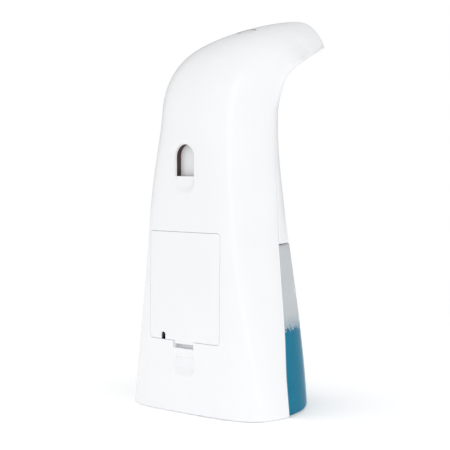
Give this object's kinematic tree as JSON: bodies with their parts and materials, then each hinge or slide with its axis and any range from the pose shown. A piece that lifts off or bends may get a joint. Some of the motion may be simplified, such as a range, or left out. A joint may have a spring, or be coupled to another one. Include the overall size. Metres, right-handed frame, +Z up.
{
  "type": "soap dispenser",
  "caption": "Sensor foam soap dispenser with a beaked body, clear front bottle, battery door and wall-hook opening, for a shelf or a wall.",
  "frame": {"origin": "middle of the body's bounding box, on the surface it stands on", "axes": "+Z up, +Y out of the flat back towards the wall, -Y along the beak, X across the symmetric body"},
  "size_m": [0.0986, 0.1126, 0.2128],
  "materials": {
    "white_abs": "glossy white moulded ABS",
    "clear_bottle": "clear, slightly frosted moulded bottle",
    "blue_soap": "teal-blue liquid",
    "grey_abs": "satin grey moulded ABS",
    "dark_abs": "dark brown moulded plastic",
    "black_window": "infrared-clear black plastic",
    "silicone": "translucent silicone",
    "steel": "plated steel",
    "circuit_board": "green solder mask",
    "cell_wrap": "plain printed battery wrap"
  },
  "bodies": {
    "housing": {"main_housing": "white_abs", "front_cover": "white_abs", "base_plate": "white_abs", "base_screw_left": "steel", "base_screw_right": "steel", "hook_stop_plate": "white_abs", "hook_bushing": "dark_abs", "chassis": "grey_abs", "battery_box": "grey_abs", "contact_strip_bottom": "steel", "contact_strip_top": "steel", "battery_cell_1": "cell_wrap", "battery_cell_2": "cell_wrap", "battery_cell_3": "cell_wrap", "battery_cell_4": "cell_wrap", "battery_spring_1": "steel", "battery_spring_2": "steel", "battery_spring_3": "steel", "battery_spring_4": "steel", "motor_bracket": "steel", "pump_motor": "steel", "pump_body": "grey_abs", "pump_diaphragm": "silicone", "pump_head": "grey_abs", "suction_tube": "silicone", "foam_tube": "silicone", "foam_nozzle": "grey_abs", "foam_mesh": "steel", "coupling_seal": "silicone", "main_board": "circuit_board", "button_board": "circuit_board", "tact_switch": "dark_abs", "sensor_board": "circuit_board", "sensor_window": "black_window", "ir_emitter": "black_window", "ir_receiver": "black_window"},
    "battery_door": {"battery_cover": "white_abs"},
    "button": {"power_button": "white_abs"},
    "crank": {"motor_shaft": "steel"},
    "soap_bottle": {"bottle": "clear_bottle", "liquid_soap": "blue_soap", "filler_plug": "silicone", "bottle_coupling": "silicone", "dip_tube": "silicone"}
  },
  "joints": [
    {"name": "battery_door_swing", "type": "hinge", "parent": "housing", "child": "battery_door", "pos_m": [0, 0.0563, 0.0961], "axis": [1, 0, 0], "range_deg": [0, 60]},
    {"name": "power_button_press", "type": "slide", "parent": "housing", "child": "button", "axis": [0, -0.2971, -0.9548], "range_m": [0, 0.001], "stiffness_N_per_m": 1500, "springref_m": -0.0008},
    {"name": "pump_crank_spin", "type": "hinge", "parent": "housing", "child": "crank", "pos_m": [0, 0.0183, 0.12], "axis": [0, 0, 1], "continuous": true},
    {"name": "bottle_pull", "type": "slide", "parent": "housing", "child": "soap_bottle", "axis": [0, -1, 0], "range_m": [0, 0.07]}
  ]
}
